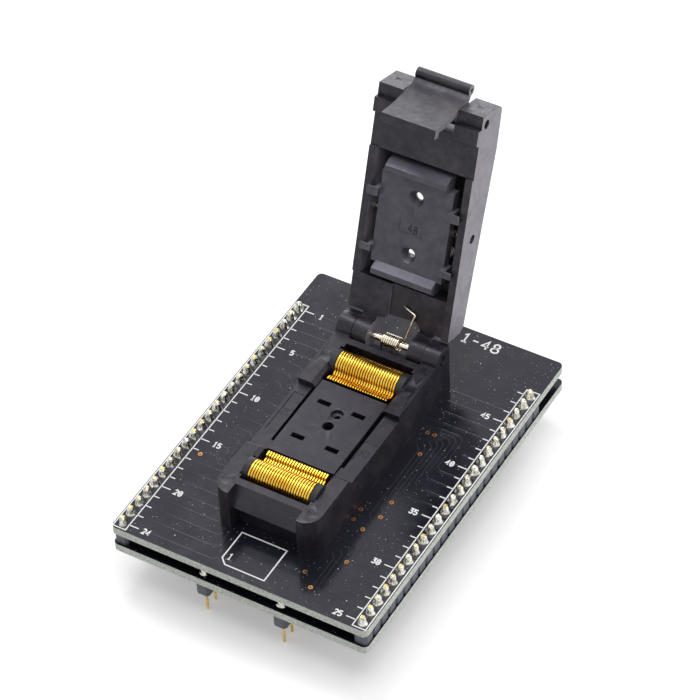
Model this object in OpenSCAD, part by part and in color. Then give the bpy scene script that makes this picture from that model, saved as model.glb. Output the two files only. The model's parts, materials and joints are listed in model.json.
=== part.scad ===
// Clamshell zero-insertion-force socket for a 48-lead thin package,
// standing on a two-board adapter with two rows of dual-in-line pins.
// Millimetres. +Z up, +Y towards the hinge.
// Origin: middle of the dual-in-line pin pattern, on the seating plane under its plastic strips.

/* [Boards] */
// board width across the pin rows
board_wid = 50.0; // [49:0.5:54]
// board length along the pin rows
board_len = 70.0; // [66:0.5:76]
// board laminate thickness
board_thick = 1.6; // [1:0.1:2]
// how far the board's middle lies behind the pin pattern's middle
board_shift = 4.1; // [3:0.1:4.4]
// board corner radius
board_corner = 1.0; // [0.5:0.1:2]

/* [Pin rows] */
// pin pitch
pin_pitch = 2.54; // [2:0.01:2.6]
// pins in each row
pin_count = 24; // [24:1:24]
// distance between the two plug-in rows
dip_spacing = 15.24; // [10.16:0.01:17.78]
// distance from the board's long edge to the row that joins the boards
link_edge = 1.5; // [1.4:0.05:2]
// height of the plug-in strips' plastic
dip_body_h = 3.0; // [2.5:0.1:3.5]
// width of a strip's plastic
strip_wid = 2.54; // [2.3:0.02:2.6]
// depth of the nicks between neighbouring pins
strip_nick = 0.42; // [0.3:0.02:0.5]
// height of the linking strips' plastic, which sets the gap between the boards
link_body_h = 2.54; // [2:0.02:3]
// plug-in pin diameter
dip_pin_d = 0.5; // [0.45:0.01:0.6]
// plug-in pin length below the plastic
dip_pin_len = 5.2; // [3:0.1:6]
// linking pin side
link_pin_w = 0.64; // [0.5:0.01:0.66]
// linking pin length above the top board and below the lower board
link_pin_out = 1.5; // [1:0.1:2]
// solder cone height
solder_h = 1.15; // [0.8:0.05:1.3]
// solder cone foot radius
solder_r = 0.92; // [0.8:0.02:1]

/* [Socket housing] */
// housing width
house_wid = 20.1; // [19.8:0.1:21]
// housing height
house_h = 8.85; // [8.6:0.05:9.2]
// front face of the posts
house_front = -21.7; // [-22.2:0.1:-21.5]
// rear face of the hinge ears
house_back = 24.7; // [24.6:0.1:25.4]
// front corner radius
post_corner = 3.0; // [2:0.1:3.2]
// half the gap between the front posts
post_gap = 6.6; // [6.2:0.1:7]
// half width of the contact wells
well_half = 6.75; // [6.5:0.05:6.8]
// middle of the package pocket
pocket_y = 0.2; // [0:0.1:0.4]
// depth of the recess in each side rail
rail_drop = 1.15; // [0.8:0.05:1.3]

/* [Nest plate] */
// height of the seat above the deck
seat_h = 8.0; // [7.8:0.05:8.1]
// nest plate width
nest_wid = 13.0; // [12.6:0.1:13.1]
// nest plate length
nest_len = 18.4; // [18:0.1:18.5]
// nest plate thickness
nest_thick = 2.4; // [2:0.1:3]

/* [Contacts] */
// contacts at each end
contact_count = 24; // [24:1:24]
// contact pitch
contact_pitch = 0.5; // [0.5:0.01:0.5]
// contact sheet thickness
contact_thick = 0.3; // [0.2:0.01:0.32]
// contact strip width seen from the side
contact_web = 0.3; // [0.24:0.01:0.36]
// outer radius of the contact's arc
arc_r = 2.4; // [2.2:0.05:2.45]
// distance from the pocket's middle to the arc's centre
arc_u = 14.6; // [14.4:0.05:14.7]
// height of the arc's centre above the deck
arc_z = 7.35; // [7.2:0.05:7.35]
// half length of a comb's ridge between its end caps
comb_half = 6.7; // [6.5:0.05:6.7]
// half length of a comb over its end caps
comb_cap = 7.2; // [6.9:0.05:7.2]
// thickness of a comb's wall under the ridge
comb_wall = 3.5; // [3:0.1:3.5]

/* [Lid] */
// hinge axis distance behind the pin pattern's middle
hinge_y = 22.4; // [22.2:0.1:22.6]
// hinge axis height above the deck
hinge_h = 8.6; // [8.5:0.05:8.7]
// how far the lid stands open
open_angle = 108.45; // [90:0.05:110]
// hinge barrel radius
barrel_r = 2.5; // [2.3:0.05:2.5]
// hinge and latch pin diameter
pin_d = 1.2; // [1:0.05:1.3]
// running clearance round the pins
pin_clear = 0.05; // [0.03:0.01:0.08]
// inner faces of the hinge ears
ear_in = 7.1; // [7:0.05:7.2]
// inner faces of the lid's knuckles
knuckle_in = 4.05; // [3.8:0.05:4.2]
// lid length from the hinge axis
lid_len = 46.4; // [46.2:0.1:46.8]
// half width of the lid's window
window_half = 8.7; // [8.5:0.05:8.8]
// half width of the latch notch
notch_half = 5.45; // [5.4:0.05:5.8]

/* [Latch and pressure plate] */
// distance from the hinge axis to the latch pin
latch_s = 44.55; // [44.4:0.05:44.6]
// height of the latch pin above the hinge axis, lid closed
latch_t = 3.1; // [3:0.05:3.2]
// latch width
latch_wid = 10.4; // [9.6:0.1:10.6]
// distance from the hinge axis to the pressure plate's pin
plate_s = 22.2; // [22:0.1:22.4]
// pressure plate width
plate_wid = 14.0; // [13:0.1:14.4]
// pressure plate length between its press bars
plate_len = 17.6; // [17:0.1:17.8]
// pressure plate thickness
plate_thick = 2.0; // [1.6:0.1:2.2]
// length of a press bar
bar_len = 12.0; // [11:0.1:13]

/* [Hidden] */
$fn = 64;
eps = 0.02;
link_spacing = board_wid - 2 * link_edge;
low_z = dip_body_h;
low_top = low_z + board_thick;
top_z = low_top + link_body_h;
deck = top_z + board_thick;
row_y = (pin_count - 1) * pin_pitch / 2;
strip_y = pin_count * pin_pitch / 2;
half_w = house_wid / 2;
tail_u = arc_u + arc_r - contact_web / 2;
tail_half = (contact_count * contact_pitch) / 2 + 0.1;
house_top = deck + house_h;
hinge_z = deck + hinge_h;
pin_r = pin_d / 2;
bore_r = pin_r + pin_clear;
fit_r = pin_r + 0.02;
cut_h = 40;
vias = [[11.9, 13.35], [13.25, 13.35], [13.25, 8.25], [14.5, -3.8], [10.65, -7.6], [14.5, -7.6],
    [10.7, -10.15], [13.2, -11.4], [14.5, -19.0], [9.45, -24.15], [12.0, -26.7], [-20.3, -9.55]];

// ---- helpers ----

// polygon in (y, z) drawn out along X
module yz_prism(pts, x0, x1) {
    translate([x0, 0, 0])
        rotate([90, 0, 90])
            linear_extrude(x1 - x0) polygon(pts);
}

// polygon in (distance from hinge, height over hinge) for the closed lid, drawn out along X
module lid_prism(pts, x0, x1) {
    translate([x1, 0, 0])
        rotate([90, 0, -90])
            linear_extrude(x1 - x0) polygon(pts);
}

// round bar along X in lid coordinates
module lid_bar(s, t, r, x0, x1) {
    translate([x0, -s, t])
        rotate([0, 90, 0])
            cylinder(h = x1 - x0, r = r);
}

// round bar along X in the row frame
module x_bar(y, z, r, x0, x1) {
    translate([x0, y, z])
        rotate([0, 90, 0])
            cylinder(h = x1 - x0, r = r);
}

// box from its corner points
module span(a, b) {
    translate(a)
        cube([b[0] - a[0], b[1] - a[1], b[2] - a[2]]);
}

// box in lid coordinates
module lid_span(x0, x1, s0, s1, t0, t1) {
    span([x0, -s1, t0], [x1, -s0, t1]);
}

// closed lid coordinates to the open lid in the row frame
module on_lid() {
    translate([0, hinge_y, hinge_z])
        rotate([-open_angle, 0, 0])
            children();
}

// pocket coordinates to the row frame: end = 1 is the rear, -1 the front
module at_end(end) {
    translate([0, pocket_y, deck])
        scale([1, end, 1])
            children();
}

module both_sides() {
    children();
    mirror([1, 0, 0])
        children();
}

module per_pin(x) {
    for (i = [0 : pin_count - 1])
        translate([x, i * pin_pitch - row_y, 0])
            children();
}

// ---- boards ----

module board_shape() {
    hw = board_wid / 2;
    hl = board_len / 2;
    c = board_corner;
    translate([0, board_shift])
        union() {
            square([board_wid - 2 * c, board_len], center = true);
            square([board_wid, board_len - 2 * c], center = true);
            for (sx = [-1, 1])
                for (sy = [-1, 1])
                    translate([sx * (hw - c), sy * (hl - c)])
                        circle(r = c);
        }
}

module link_holes() {
    for (sx = [-1, 1])
        for (i = [0 : pin_count - 1])
            translate([sx * link_spacing / 2, i * pin_pitch - row_y])
                circle(r = 0.5);
}

module lower_board() {
    color([0.10, 0.11, 0.13])
        translate([0, 0, low_z])
            linear_extrude(board_thick)
                difference() {
                    board_shape();
                    link_holes();
                    for (sx = [-1, 1])
                        for (i = [0 : pin_count - 1])
                            translate([sx * dip_spacing / 2, i * pin_pitch - row_y])
                                circle(r = dip_pin_d / 2 + 0.1);
                }
}

module top_board() {
    color([0.12, 0.13, 0.15])
        translate([0, 0, top_z])
            linear_extrude(board_thick)
                difference() {
                    board_shape();
                    link_holes();
                    for (v = vias)
                        translate(v)
                            circle(r = 0.25);
                }
}

module via_rings() {
    color([0.76, 0.46, 0.22])
        for (v = vias)
            translate([v[0], v[1], top_z])
                difference() {
                    union() {
                        cylinder(h = board_thick, r = 0.25);
                        translate([0, 0, board_thick])
                            cylinder(h = 0.04, r = 0.42);
                    }
                    translate([0, 0, -1])
                        cylinder(h = 4, r = 0.17);
                }
}

// ---- strips and pins ----

// one strip's outline, pinched between neighbouring pins
module strip_shape() {
    hw = strip_wid / 2;
    waist = hw - strip_nick;
    half_pitch = pin_pitch / 2;
    right = [for (i = [0 : pin_count - 1]) each [[hw, i * pin_pitch - row_y - waist],
        [hw, i * pin_pitch - row_y + waist], [waist, i * pin_pitch - row_y + half_pitch]]];
    left = [for (i = [pin_count - 1 : -1 : 0]) each [[-waist, i * pin_pitch - row_y + half_pitch],
        [-hw, i * pin_pitch - row_y + waist], [-hw, i * pin_pitch - row_y - waist]]];
    polygon(concat([[waist, -row_y - half_pitch]], right, left, [[-waist, -row_y - half_pitch]]));
}

module plug_strip(side) {
    color([0.13, 0.13, 0.14])
        translate([side * dip_spacing / 2, 0, 0])
            linear_extrude(dip_body_h)
                difference() {
                    strip_shape();
                    per_pin(0) circle(r = 0.4);
                }
}

module left_plug_strip() {
    plug_strip(-1);
}

module right_plug_strip() {
    plug_strip(1);
}

// turned pin: shoulder in the plastic, tail through the board, tapered point below
module plug_pin() {
    r = dip_pin_d / 2;
    rotate_extrude()
        polygon([[0, -dip_pin_len], [r * 0.55, -dip_pin_len], [r, -dip_pin_len + 0.35], [r, 0], [0.4, 0],
            [0.4, dip_body_h], [r, dip_body_h], [r, low_top + 0.5], [0, low_top + 0.5]]);
}

module left_plug_pins() {
    color([0.83, 0.66, 0.26])
        per_pin(-dip_spacing / 2) plug_pin();
}

module right_plug_pins() {
    color([0.83, 0.66, 0.26])
        per_pin(dip_spacing / 2) plug_pin();
}

module link_strip(side) {
    color([0.12, 0.12, 0.13])
        translate([side * link_spacing / 2, 0, low_top])
            linear_extrude(link_body_h)
                difference() {
                    strip_shape();
                    per_pin(0) square(link_pin_w, center = true);
                }
}

module left_link_strip() {
    link_strip(-1);
}

module right_link_strip() {
    link_strip(1);
}

module link_pin() {
    w = link_pin_w;
    translate([-w / 2, -w / 2, low_z - link_pin_out])
        cube([w, w, deck - low_z + 2 * link_pin_out]);
}

module left_link_pins() {
    color([0.83, 0.68, 0.30])
        per_pin(-link_spacing / 2) link_pin();
}

module right_link_pins() {
    color([0.83, 0.68, 0.30])
        per_pin(link_spacing / 2) link_pin();
}

// solder cone round a square pin, foot down at z = 0
module square_cone() {
    difference() {
        cylinder(h = solder_h, r1 = solder_r, r2 = link_pin_w * 0.75);
        translate([-link_pin_w / 2, -link_pin_w / 2, -1])
            cube([link_pin_w, link_pin_w, 4]);
    }
}

module top_solder() {
    color([0.75, 0.76, 0.78])
        for (sx = [-1, 1])
            per_pin(sx * link_spacing / 2)
                translate([0, 0, deck])
                    square_cone();
}

module lower_solder() {
    color([0.72, 0.73, 0.75])
        for (sx = [-1, 1])
            per_pin(sx * link_spacing / 2)
                translate([0, 0, low_z])
                    mirror([0, 0, 1])
                        square_cone();
}

module plug_solder() {
    color([0.74, 0.75, 0.77])
        for (sx = [-1, 1])
            per_pin(sx * dip_spacing / 2)
                translate([0, 0, low_top])
                    difference() {
                        cylinder(h = 0.7, r1 = 0.85, r2 = 0.4);
                        translate([0, 0, -1])
                            cylinder(h = 1 + 0.5, r = dip_pin_d / 2);
                    }
}

// ---- housing ----

module house_shape() {
    c = post_corner;
    union() {
        translate([-half_w, house_front + c])
            square([house_wid, house_back - house_front - c]);
        translate([-half_w + c, house_front])
            square([house_wid - 2 * c, c + 1]);
        for (sx = [-1, 1])
            translate([sx * (half_w - c), house_front + c])
                circle(r = c);
    }
}

module ear() {
    x_bar(hinge_y, hinge_h, barrel_r, ear_in, half_w);
    span([ear_in, hinge_y, hinge_h - 2], [half_w, house_back, hinge_h + 2]);
}

// well for one contact row, cut into the housing
module end_well() {
    span([-well_half, 9.45, 1.6], [well_half, 18.0, cut_h]);
    span([-tail_half, tail_u - 0.4, -1], [tail_half, tail_u + 0.4, 2]);
    span([-7.25, 12.2, 4.6], [7.25, 17.05, cut_h]);
    for (sx = [-1, 1])
        scale([sx, 1, 1])
            translate([0, 7.0, 0])
                rotate([-90, 0, 0])
                    linear_extrude(5.3)
                        polygon([[6.5, -seat_h], [6.5, -house_h - 1], [8.4, -house_h - 1],
                            [7.45, -house_h]]);
}

module base_housing() {
    color([0.21, 0.21, 0.24])
        translate([0, 0, deck])
            difference() {
                union() {
                    linear_extrude(house_h) house_shape();
                    both_sides() ear();
                }
                // room for the lid's knuckles
                span([-ear_in, 19.55, 5.6], [ear_in, 30, cut_h]);
                // relief behind the trough floor
                span([-ear_in, 23.2, 1.8], [ear_in, 30, cut_h]);
                // hinge pin bore and the wider mouths
                x_bar(hinge_y, hinge_h, fit_r, -12, 12);
                both_sides() x_bar(hinge_y, hinge_h, 0.95, half_w - 0.6, 12);
                // package pocket
                translate([0, pocket_y, 0]) {
                    difference() {
                        span([-7.2, -7.0, 1.6], [7.2, 7.0, cut_h]);
                        span([-5.6, -8, 0], [5.6, 8, seat_h - nest_thick]);
                    }
                    difference() {
                        span([-6.6, -9.55, 1.6], [6.6, 9.55, cut_h]);
                        span([-5.6, -8.4, 0], [5.6, 8.4, seat_h - nest_thick]);
                    }
                    span([-4.8, -7.4, 1.6], [4.8, 7.4, cut_h]);
                    end_well();
                    mirror([0, 1, 0]) end_well();
                }
                // lowered middles of the side rails
                both_sides()
                    yz_prism([[7.1, house_h - rail_drop], [7.1, cut_h], [-11.2, cut_h],
                        [-10.2, house_h + 0.1], [-9.0, house_h - rail_drop]], 6.55, 12);
                // engraved frames on the lowered rails
                span([-9.45, -5.0, house_h - rail_drop - 0.12], [-9.2, 4.9, house_h]);
                span([-9.45, 4.65, house_h - rail_drop - 0.12], [-7.4, 4.9, house_h]);
                span([7.4, -4.6, house_h - rail_drop - 0.12], [7.65, 0.3, house_h]);
                span([7.4, 0.1, house_h - rail_drop - 0.12], [9.6, 0.3, house_h]);
                // sloped nose for the latch and the space under it
                yz_prism([[-19.2, house_h + 1], [-19.2, house_h], [-20.75, 4.4], [-19.3, 4.2],
                    [-19.3, -1], [-30, -1], [-30, house_h + 1]], -post_gap, post_gap);
                // ejector marks
                for (p = [[8.55, 14.0], [-8.55, 14.0], [8.35, -18.9], [-8.35, -18.9]])
                    translate([p[0], p[1], house_h - 0.06])
                        cylinder(h = 1, r = 0.95);
                // slot for the spring's lower leg
                span([-2.4, 20.9, 4.6], [-1.0, 21.7, 6]);
            }
}

module nest_plate() {
    hw = nest_wid / 2;
    hl = nest_len / 2;
    color([0.25, 0.25, 0.29])
        translate([0, pocket_y, deck + seat_h - nest_thick])
            difference() {
                union() {
                    span([-hw, -hl, 0.6], [hw, hl, nest_thick]);
                    span([-5.6, -8.4, 0], [5.6, 8.4, 1]);
                }
                for (sx = [-1, 1])
                    for (sy = [-1, 1])
                        span([sx * 3.37 - 1.25, sy * 4.48 - 0.5, -1], [sx * 3.37 + 1.25, sy * 4.48 + 0.5, 9]);
                translate([0, 0, -1])
                    cylinder(h = 9, r = 0.98);
                translate([0, 3.1, -1])
                    cylinder(h = 9, r = 0.45);
                translate([0, 3.1, nest_thick - 0.8])
                    cylinder(h = 2, r = 1.1);
                // foot pocket that lies over the hollow pedestal
                span([-4.7, -7.3, -1], [4.7, 7.3, 0.6]);
            }
}

// ---- contacts and combs ----

module arc_ring(r_in, r_out) {
    difference() {
        circle(r = r_out);
        circle(r = r_in);
    }
}

// straight piece of contact strip with round ends
module web(a, b) {
    d = b - a;
    w = contact_web;
    translate(a)
        rotate(atan2(d[1], d[0]))
            translate([0, -w / 2])
                square([norm(d), w]);
    translate(a)
        circle(r = w / 2);
    translate(b)
        circle(r = w / 2);
}

// side view of one contact: x is outwards from the pocket, y is up
module contact_profile() {
    r_mid = arc_r - contact_web / 2;
    leg_u = arc_u + r_mid;
    join = [arc_u - r_mid * cos(8), arc_z + r_mid * sin(8)];
    union() {
        translate([arc_u, arc_z])
            difference() {
                arc_ring(arc_r - contact_web, arc_r);
                translate([-5, -10])
                    square([10, 10]);
                polygon([[0, 0], [-6, 6 * tan(8)], [-6, -1], [0, -1]]);
            }
        translate([leg_u - contact_web / 2, 0])
            square([contact_web, arc_z + eps]);
        web([9.85, 8.05], [10.6, 7.88]);
        web([10.6, 7.88], [10.85, 7.38]);
        web([10.85, 7.38], [11.7, 7.2]);
        web([11.7, 7.2], join);
    }
}

module contact_row() {
    for (i = [0 : contact_count - 1])
        translate([(i - (contact_count - 1) / 2) * contact_pitch - contact_thick / 2, 0, 0])
            rotate([90, 0, 90])
                linear_extrude(contact_thick) contact_profile();
}

module front_contacts() {
    color([0.90, 0.68, 0.20])
        at_end(-1) contact_row();
}

module rear_contacts() {
    color([0.90, 0.68, 0.20])
        at_end(1) contact_row();
}

// round-backed comb that spaces one contact row
module comb() {
    slot_w = contact_thick + 0.04;
    reach = (contact_count * contact_pitch) / 2;
    difference() {
        union() {
            x_bar(arc_u, arc_z, arc_r - 0.2, -comb_half, comb_half);
            both_sides() x_bar(arc_u, arc_z, arc_r, comb_half - 0.6, comb_cap);
            span([-comb_half, 16.4 - comb_wall, 1.6], [comb_half, 16.4, arc_z]);
        }
        for (i = [0 : contact_count - 1])
            translate([(i - (contact_count - 1) / 2) * contact_pitch, 0, 0])
                difference() {
                    span([-slot_w / 2, 10, arc_z - 2.6], [slot_w / 2, 20, arc_z + 5]);
                    x_bar(arc_u, arc_z, arc_r - contact_web - 0.04, -1, 1);
                    span([-1, 16.4 - comb_wall, 0], [1, 16.4, arc_z]);
                }
    }
}

module front_comb() {
    color([0.30, 0.29, 0.30])
        at_end(-1) comb();
}

module rear_comb() {
    color([0.30, 0.29, 0.30])
        at_end(1) comb();
}

// ---- hinge ----

module hinge_pin() {
    color([0.76, 0.76, 0.78])
        x_bar(hinge_y, hinge_z, pin_r, -half_w + 0.55, half_w - 0.55);
}

// close-wound coil drawn as turns that touch
module coil(x0, turns, pitch, mean_r, wire_r) {
    for (i = [0 : turns - 1])
        translate([x0 + i * pitch, 0, 0])
            rotate([0, 90, 0])
                rotate_extrude()
                    translate([mean_r, 0])
                        circle(r = wire_r);
}

module hinge_spring() {
    w = 0.21;
    leg = 0.2;
    bend = [3.1, -5.9, 1.15];
    color([0.80, 0.79, 0.76])
        translate([0, hinge_y, hinge_z])
            union() {
                coil(-1.55, 9, 0.4, 1.15, w);
                // lower leg down into the housing
                translate([-1.55, -1.15, -3.6])
                    cylinder(h = 3.6, r = leg);
                // upper leg along the open lid, bent over at its end
                rotate([-open_angle, 0, 0]) {
                    translate([1.65, 0.1, 1.15])
                        rotate([90, 0, 0])
                            rotate([0, 13.6, 0])
                                cylinder(h = 6.17, r = leg);
                    translate(bend)
                        sphere(r = 0.225);
                    translate(bend)
                        rotate([0, -90, 0])
                            rotate([19.5, 0, 0])
                                cylinder(h = 2.55, r = leg);
                }
            }
}

// ---- lid ----

module lid_profile() {
    polygon([[3.2, 0.9], [41.0, 0.9], [41.3, 0.35], [44.0, 0.35], [44.0, 1.4], [lid_len, 1.4],
        [lid_len, 7.2], [45.1, 8.5], [38, 8.8], [9.3, 6.8], [4.2, 6.5], [3.2, 5.5]]);
    translate([lid_len - 1.3, 7.2])
        circle(r = 1.3);
}

module lid_shell() {
    translate([half_w, 0, 0])
        rotate([90, 0, -90])
            linear_extrude(house_wid) lid_profile();
}

module knuckle() {
    lid_bar(0, 0, barrel_r - 0.05, knuckle_in, ear_in - 0.1);
    lid_prism([[0.2, barrel_r - 0.05], [3.4, 6.4], [5, 6.4], [5, 0.9], [2.6, 0.9], [2.2, -1.0], [0, -1.5]],
        knuckle_in, ear_in - 0.1);
}

module lid_frame() {
    color([0.34, 0.34, 0.38])
        on_lid()
            difference() {
                union() {
                    lid_shell();
                    both_sides() knuckle();
                }
                // window with the pressure plate, and the smaller opening outside it
                lid_prism([[10.2, -1], [34.65, -1], [34.65, 6.85], [10.2, 5.25]], -window_half, window_half);
                lid_span(-4.4, 4.4, 14.0, 30.6, 4, 12);
                // latch notch
                lid_span(-notch_half, notch_half, 42.0, 50, -2, 12);
                // reliefs over the contact arcs
                lid_span(-12, 12, 34.6, 41.0, 0, 1.3);
                lid_span(-12, 7.35, 3.0, 10.3, 0, 1.3);
                // room for the spring's upper leg
                lid_span(-2.2, 8.7, 3.0, 10.3, 0, 1.75);
                // opening between the knuckles
                translate([0, 0, -3])
                    linear_extrude(15)
                        polygon([[-knuckle_in, 3], [-knuckle_in, -2.4], [-2.0, -4.0], [3.2, -4.4],
                            [knuckle_in, -3.2], [knuckle_in, 3]]);
                lid_span(-knuckle_in, knuckle_in, -4, 3.25, -4, 12);
                // clearance beside the hinge ears
                both_sides() lid_span(ear_in - 0.1, 12, -5, 3.2, -5, 12);
                // hollows on the outer side
                lid_span(-8.4, 8.4, 5.4, 8.9, 2.9, 12);
                lid_span(-8.4, 8.4, 36.2, 40.6, 3.0, 12);
                // pin bores
                lid_bar(0, 0, bore_r, -12, 12);
                lid_bar(latch_s, latch_t, fit_r, -12, 12);
                both_sides() lid_bar(latch_s, latch_t, 0.85, half_w - 0.6, 12);
                lid_bar(plate_s, 4.4, fit_r, -12, 12);
                both_sides() lid_bar(plate_s, 4.4, 0.85, half_w - 0.45, 12);
                // ejector marks on the latch ears
                both_sides()
                    translate([7.9, -lid_len + 0.06, 4.3])
                        rotate([90, 0, 0])
                            cylinder(h = 1, r = 0.6);
            }
}

module pressure_plate() {
    hw = plate_wid / 2;
    color([0.33, 0.33, 0.37])
        on_lid()
            difference() {
                union() {
                    lid_span(-hw, hw, plate_s - plate_len / 2, plate_s + plate_len / 2,
                        3.2 - plate_thick, 3.2);
                    // press bars
                    lid_prism([[13.7, 3.2], [13.7, 1.25], [12.75, -0.35], [11.75, -0.35], [10.9, 1.0],
                        [10.9, 3.2]],
                        -bar_len / 2, bar_len / 2);
                    lid_prism([[30.7, 3.2], [30.7, 1.25], [31.65, -0.35], [32.65, -0.35], [33.5, 1.0],
                        [33.5, 3.2]], -bar_len / 2, bar_len / 2);
                    // tabs that reach over the lid's rails
                    both_sides() {
                        lid_span(hw - 0.2, hw + 0.7, 26.1, 27.7, 0, 3.2);
                        lid_span(hw, 8.95, 26.1, 27.7, 0, 0.4);
                        lid_span(hw - 0.2, hw + 0.7, 15.45, 16.7, 0, 3.2);
                        lid_span(hw, 8.95, 15.45, 16.7, 0, 0.4);
                    }
                    // lugs round the cross pin
                    both_sides() lid_prism([[plate_s - 2.1, 3], [plate_s + 2.1, 3], [plate_s + 1.3, 5.35],
                        [plate_s - 1.3, 5.35]], 4.8, 5.9);
                }
                // elongated bore: the plate floats 0.4 outwards on its pin
                lid_bar(plate_s, 4.4, bore_r, -9, 9);
                lid_bar(plate_s, 4.0, bore_r, -9, 9);
                lid_span(-9, 9, plate_s - bore_r, plate_s + bore_r, 4.0, 4.4);
                // two light holes, wider on the inner side
                for (s = [16.6, 27.6])
                    translate([0, -s, 0]) {
                        cylinder(h = 9, r = 0.75);
                        translate([0, 0, 1.2])
                            cylinder(h = 1.2, r1 = 1.5, r2 = 0.75);
                    }
                // engraved frame
                lid_span(-2.5, 2.5, 20.55, 20.8, 0, 1.32);
                lid_span(-2.5, -2.25, 20.55, 22.7, 0, 1.32);
            }
}

module pressure_pin() {
    color([0.72, 0.72, 0.74])
        on_lid()
            lid_bar(plate_s, 4.4, pin_r, -half_w + 0.5, half_w - 0.5);
}

// two small springs that hold the plate inwards
module pressure_springs() {
    color([0.74, 0.74, 0.76])
        on_lid()
            both_sides()
                for (i = [0 : 7])
                    translate([5.75, -plate_s + 4.2, 3.42 + i * 0.29])
                        rotate_extrude()
                            translate([0.9, 0])
                                circle(r = 0.2);
}

// ---- latch ----

module latch_profile() {
    difference() {
        union() {
            polygon([[45.0, -6.2], [45.3, -3.0], [45.75, -0.3], [46.35, 2.2], [46.9, 4.1], [47.7, 4.95],
                [48.6, 5.4], [48.2, 6.2],
                [46.2, 5.3], [45.3, 4.4], [44.9, 0.5], [44.2, -3.0], [44.25, -4.75], [43.25, -4.95],
                [43.25, -6.2]]);
            translate([48.3, 5.75])
                circle(r = 1.0);
            translate([latch_s, latch_t])
                circle(r = 1.85);
        }
        translate([latch_s, latch_t])
            circle(r = bore_r);
    }
}

module latch_lever() {
    hw = latch_wid / 2;
    color([0.36, 0.36, 0.40])
        on_lid()
            difference() {
                translate([hw, 0, 0])
                    rotate([90, 0, -90])
                        linear_extrude(latch_wid) latch_profile();
                // pocket for the latch spring
                lid_span(-1.9, 1.9, 40, 45.75, 1.0, 5.2);
                // dimple at each end of the thumb roll
                both_sides() lid_bar(48.3, 5.75, 0.4, hw - 0.4, 8);
            }
}

module latch_pin() {
    color([0.72, 0.72, 0.74])
        on_lid()
            lid_bar(latch_s, latch_t, pin_r, -half_w + 0.65, half_w - 0.65);
}

module latch_spring() {
    color([0.74, 0.74, 0.76])
        on_lid()
            union() {
                translate([0, -latch_s, latch_t])
                    coil(-1.2, 7, 0.38, 0.95, 0.2);
                // leg to the lid
                translate([-1.2, -latch_s + 0.1, latch_t + 0.95])
                    rotate([-90, 0, 0])
                        cylinder(h = 2.3, r = 0.2);
                // leg to the latch
                translate([1.08, -latch_s - 0.95, latch_t])
                    rotate([180, 0, 0])
                        cylinder(h = 1.9, r = 0.2);
            }
}

lower_board();
top_board();
via_rings();
left_plug_strip();
right_plug_strip();
left_plug_pins();
right_plug_pins();
left_link_strip();
right_link_strip();
left_link_pins();
right_link_pins();
top_solder();
lower_solder();
plug_solder();
base_housing();
nest_plate();
front_comb();
rear_comb();
front_contacts();
rear_contacts();
hinge_pin();
hinge_spring();
lid_frame();
pressure_plate();
pressure_pin();
pressure_springs();
latch_lever();
latch_pin();
latch_spring();
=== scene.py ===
# %% [markdown]
# # A zero-insertion-force socket on its adapter
#
# We dress a finished CAD model: a clamshell socket whose lid stands open, on two black circuit
# boards with two rows of pins. The CAD solids give every shape and place. Here we add what a solid
# can't hold: printed lines, copper tracks, soldered joints, coiled springs, soft edges, and the
# finish of each material.

# %% [markdown]
# ## Load the solids
#
# We keep the box of the bare solids and print it again at the end. The object is only 76
# mm long and millimetres are easier to read, so sizes are written in millimetres and `MM` turns
# them into metres.

# %% load the solids
import json
import math
import random

import bpy
from mathutils import Matrix, Vector


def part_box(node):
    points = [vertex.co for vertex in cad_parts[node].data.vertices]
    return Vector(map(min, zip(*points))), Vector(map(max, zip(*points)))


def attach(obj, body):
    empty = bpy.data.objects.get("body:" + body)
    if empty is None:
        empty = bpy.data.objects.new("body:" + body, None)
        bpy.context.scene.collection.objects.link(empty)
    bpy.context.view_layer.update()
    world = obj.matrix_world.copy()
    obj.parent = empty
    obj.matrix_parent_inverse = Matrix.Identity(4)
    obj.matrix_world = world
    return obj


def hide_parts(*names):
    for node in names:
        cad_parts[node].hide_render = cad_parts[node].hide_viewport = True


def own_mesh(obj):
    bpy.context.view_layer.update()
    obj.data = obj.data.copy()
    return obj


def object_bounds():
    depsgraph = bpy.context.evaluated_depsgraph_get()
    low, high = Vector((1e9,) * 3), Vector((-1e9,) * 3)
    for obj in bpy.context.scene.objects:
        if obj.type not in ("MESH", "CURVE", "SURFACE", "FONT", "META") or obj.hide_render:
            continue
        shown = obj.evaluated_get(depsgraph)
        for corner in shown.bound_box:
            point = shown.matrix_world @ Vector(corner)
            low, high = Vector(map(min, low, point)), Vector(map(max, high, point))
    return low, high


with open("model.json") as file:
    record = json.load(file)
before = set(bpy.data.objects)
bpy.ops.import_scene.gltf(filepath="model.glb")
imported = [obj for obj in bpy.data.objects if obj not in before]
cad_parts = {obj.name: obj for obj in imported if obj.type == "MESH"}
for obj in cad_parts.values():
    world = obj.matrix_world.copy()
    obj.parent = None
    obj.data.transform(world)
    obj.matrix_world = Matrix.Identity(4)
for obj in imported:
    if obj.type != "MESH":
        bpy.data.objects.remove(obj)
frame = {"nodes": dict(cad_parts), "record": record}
solid_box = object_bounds()
MM = 0.001
print("nodes", len(frame["nodes"]), "box in mm", [[round(v / MM, 1) for v in c] for c in solid_box])

# %% [markdown]
# ## Where things are
#
# New pieces take their places from the solids. The top board gives the height of the deck, the link
# pins give the two rows, and the hinge and its travel come from the record, so they aren't typed a
# second time.

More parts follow.
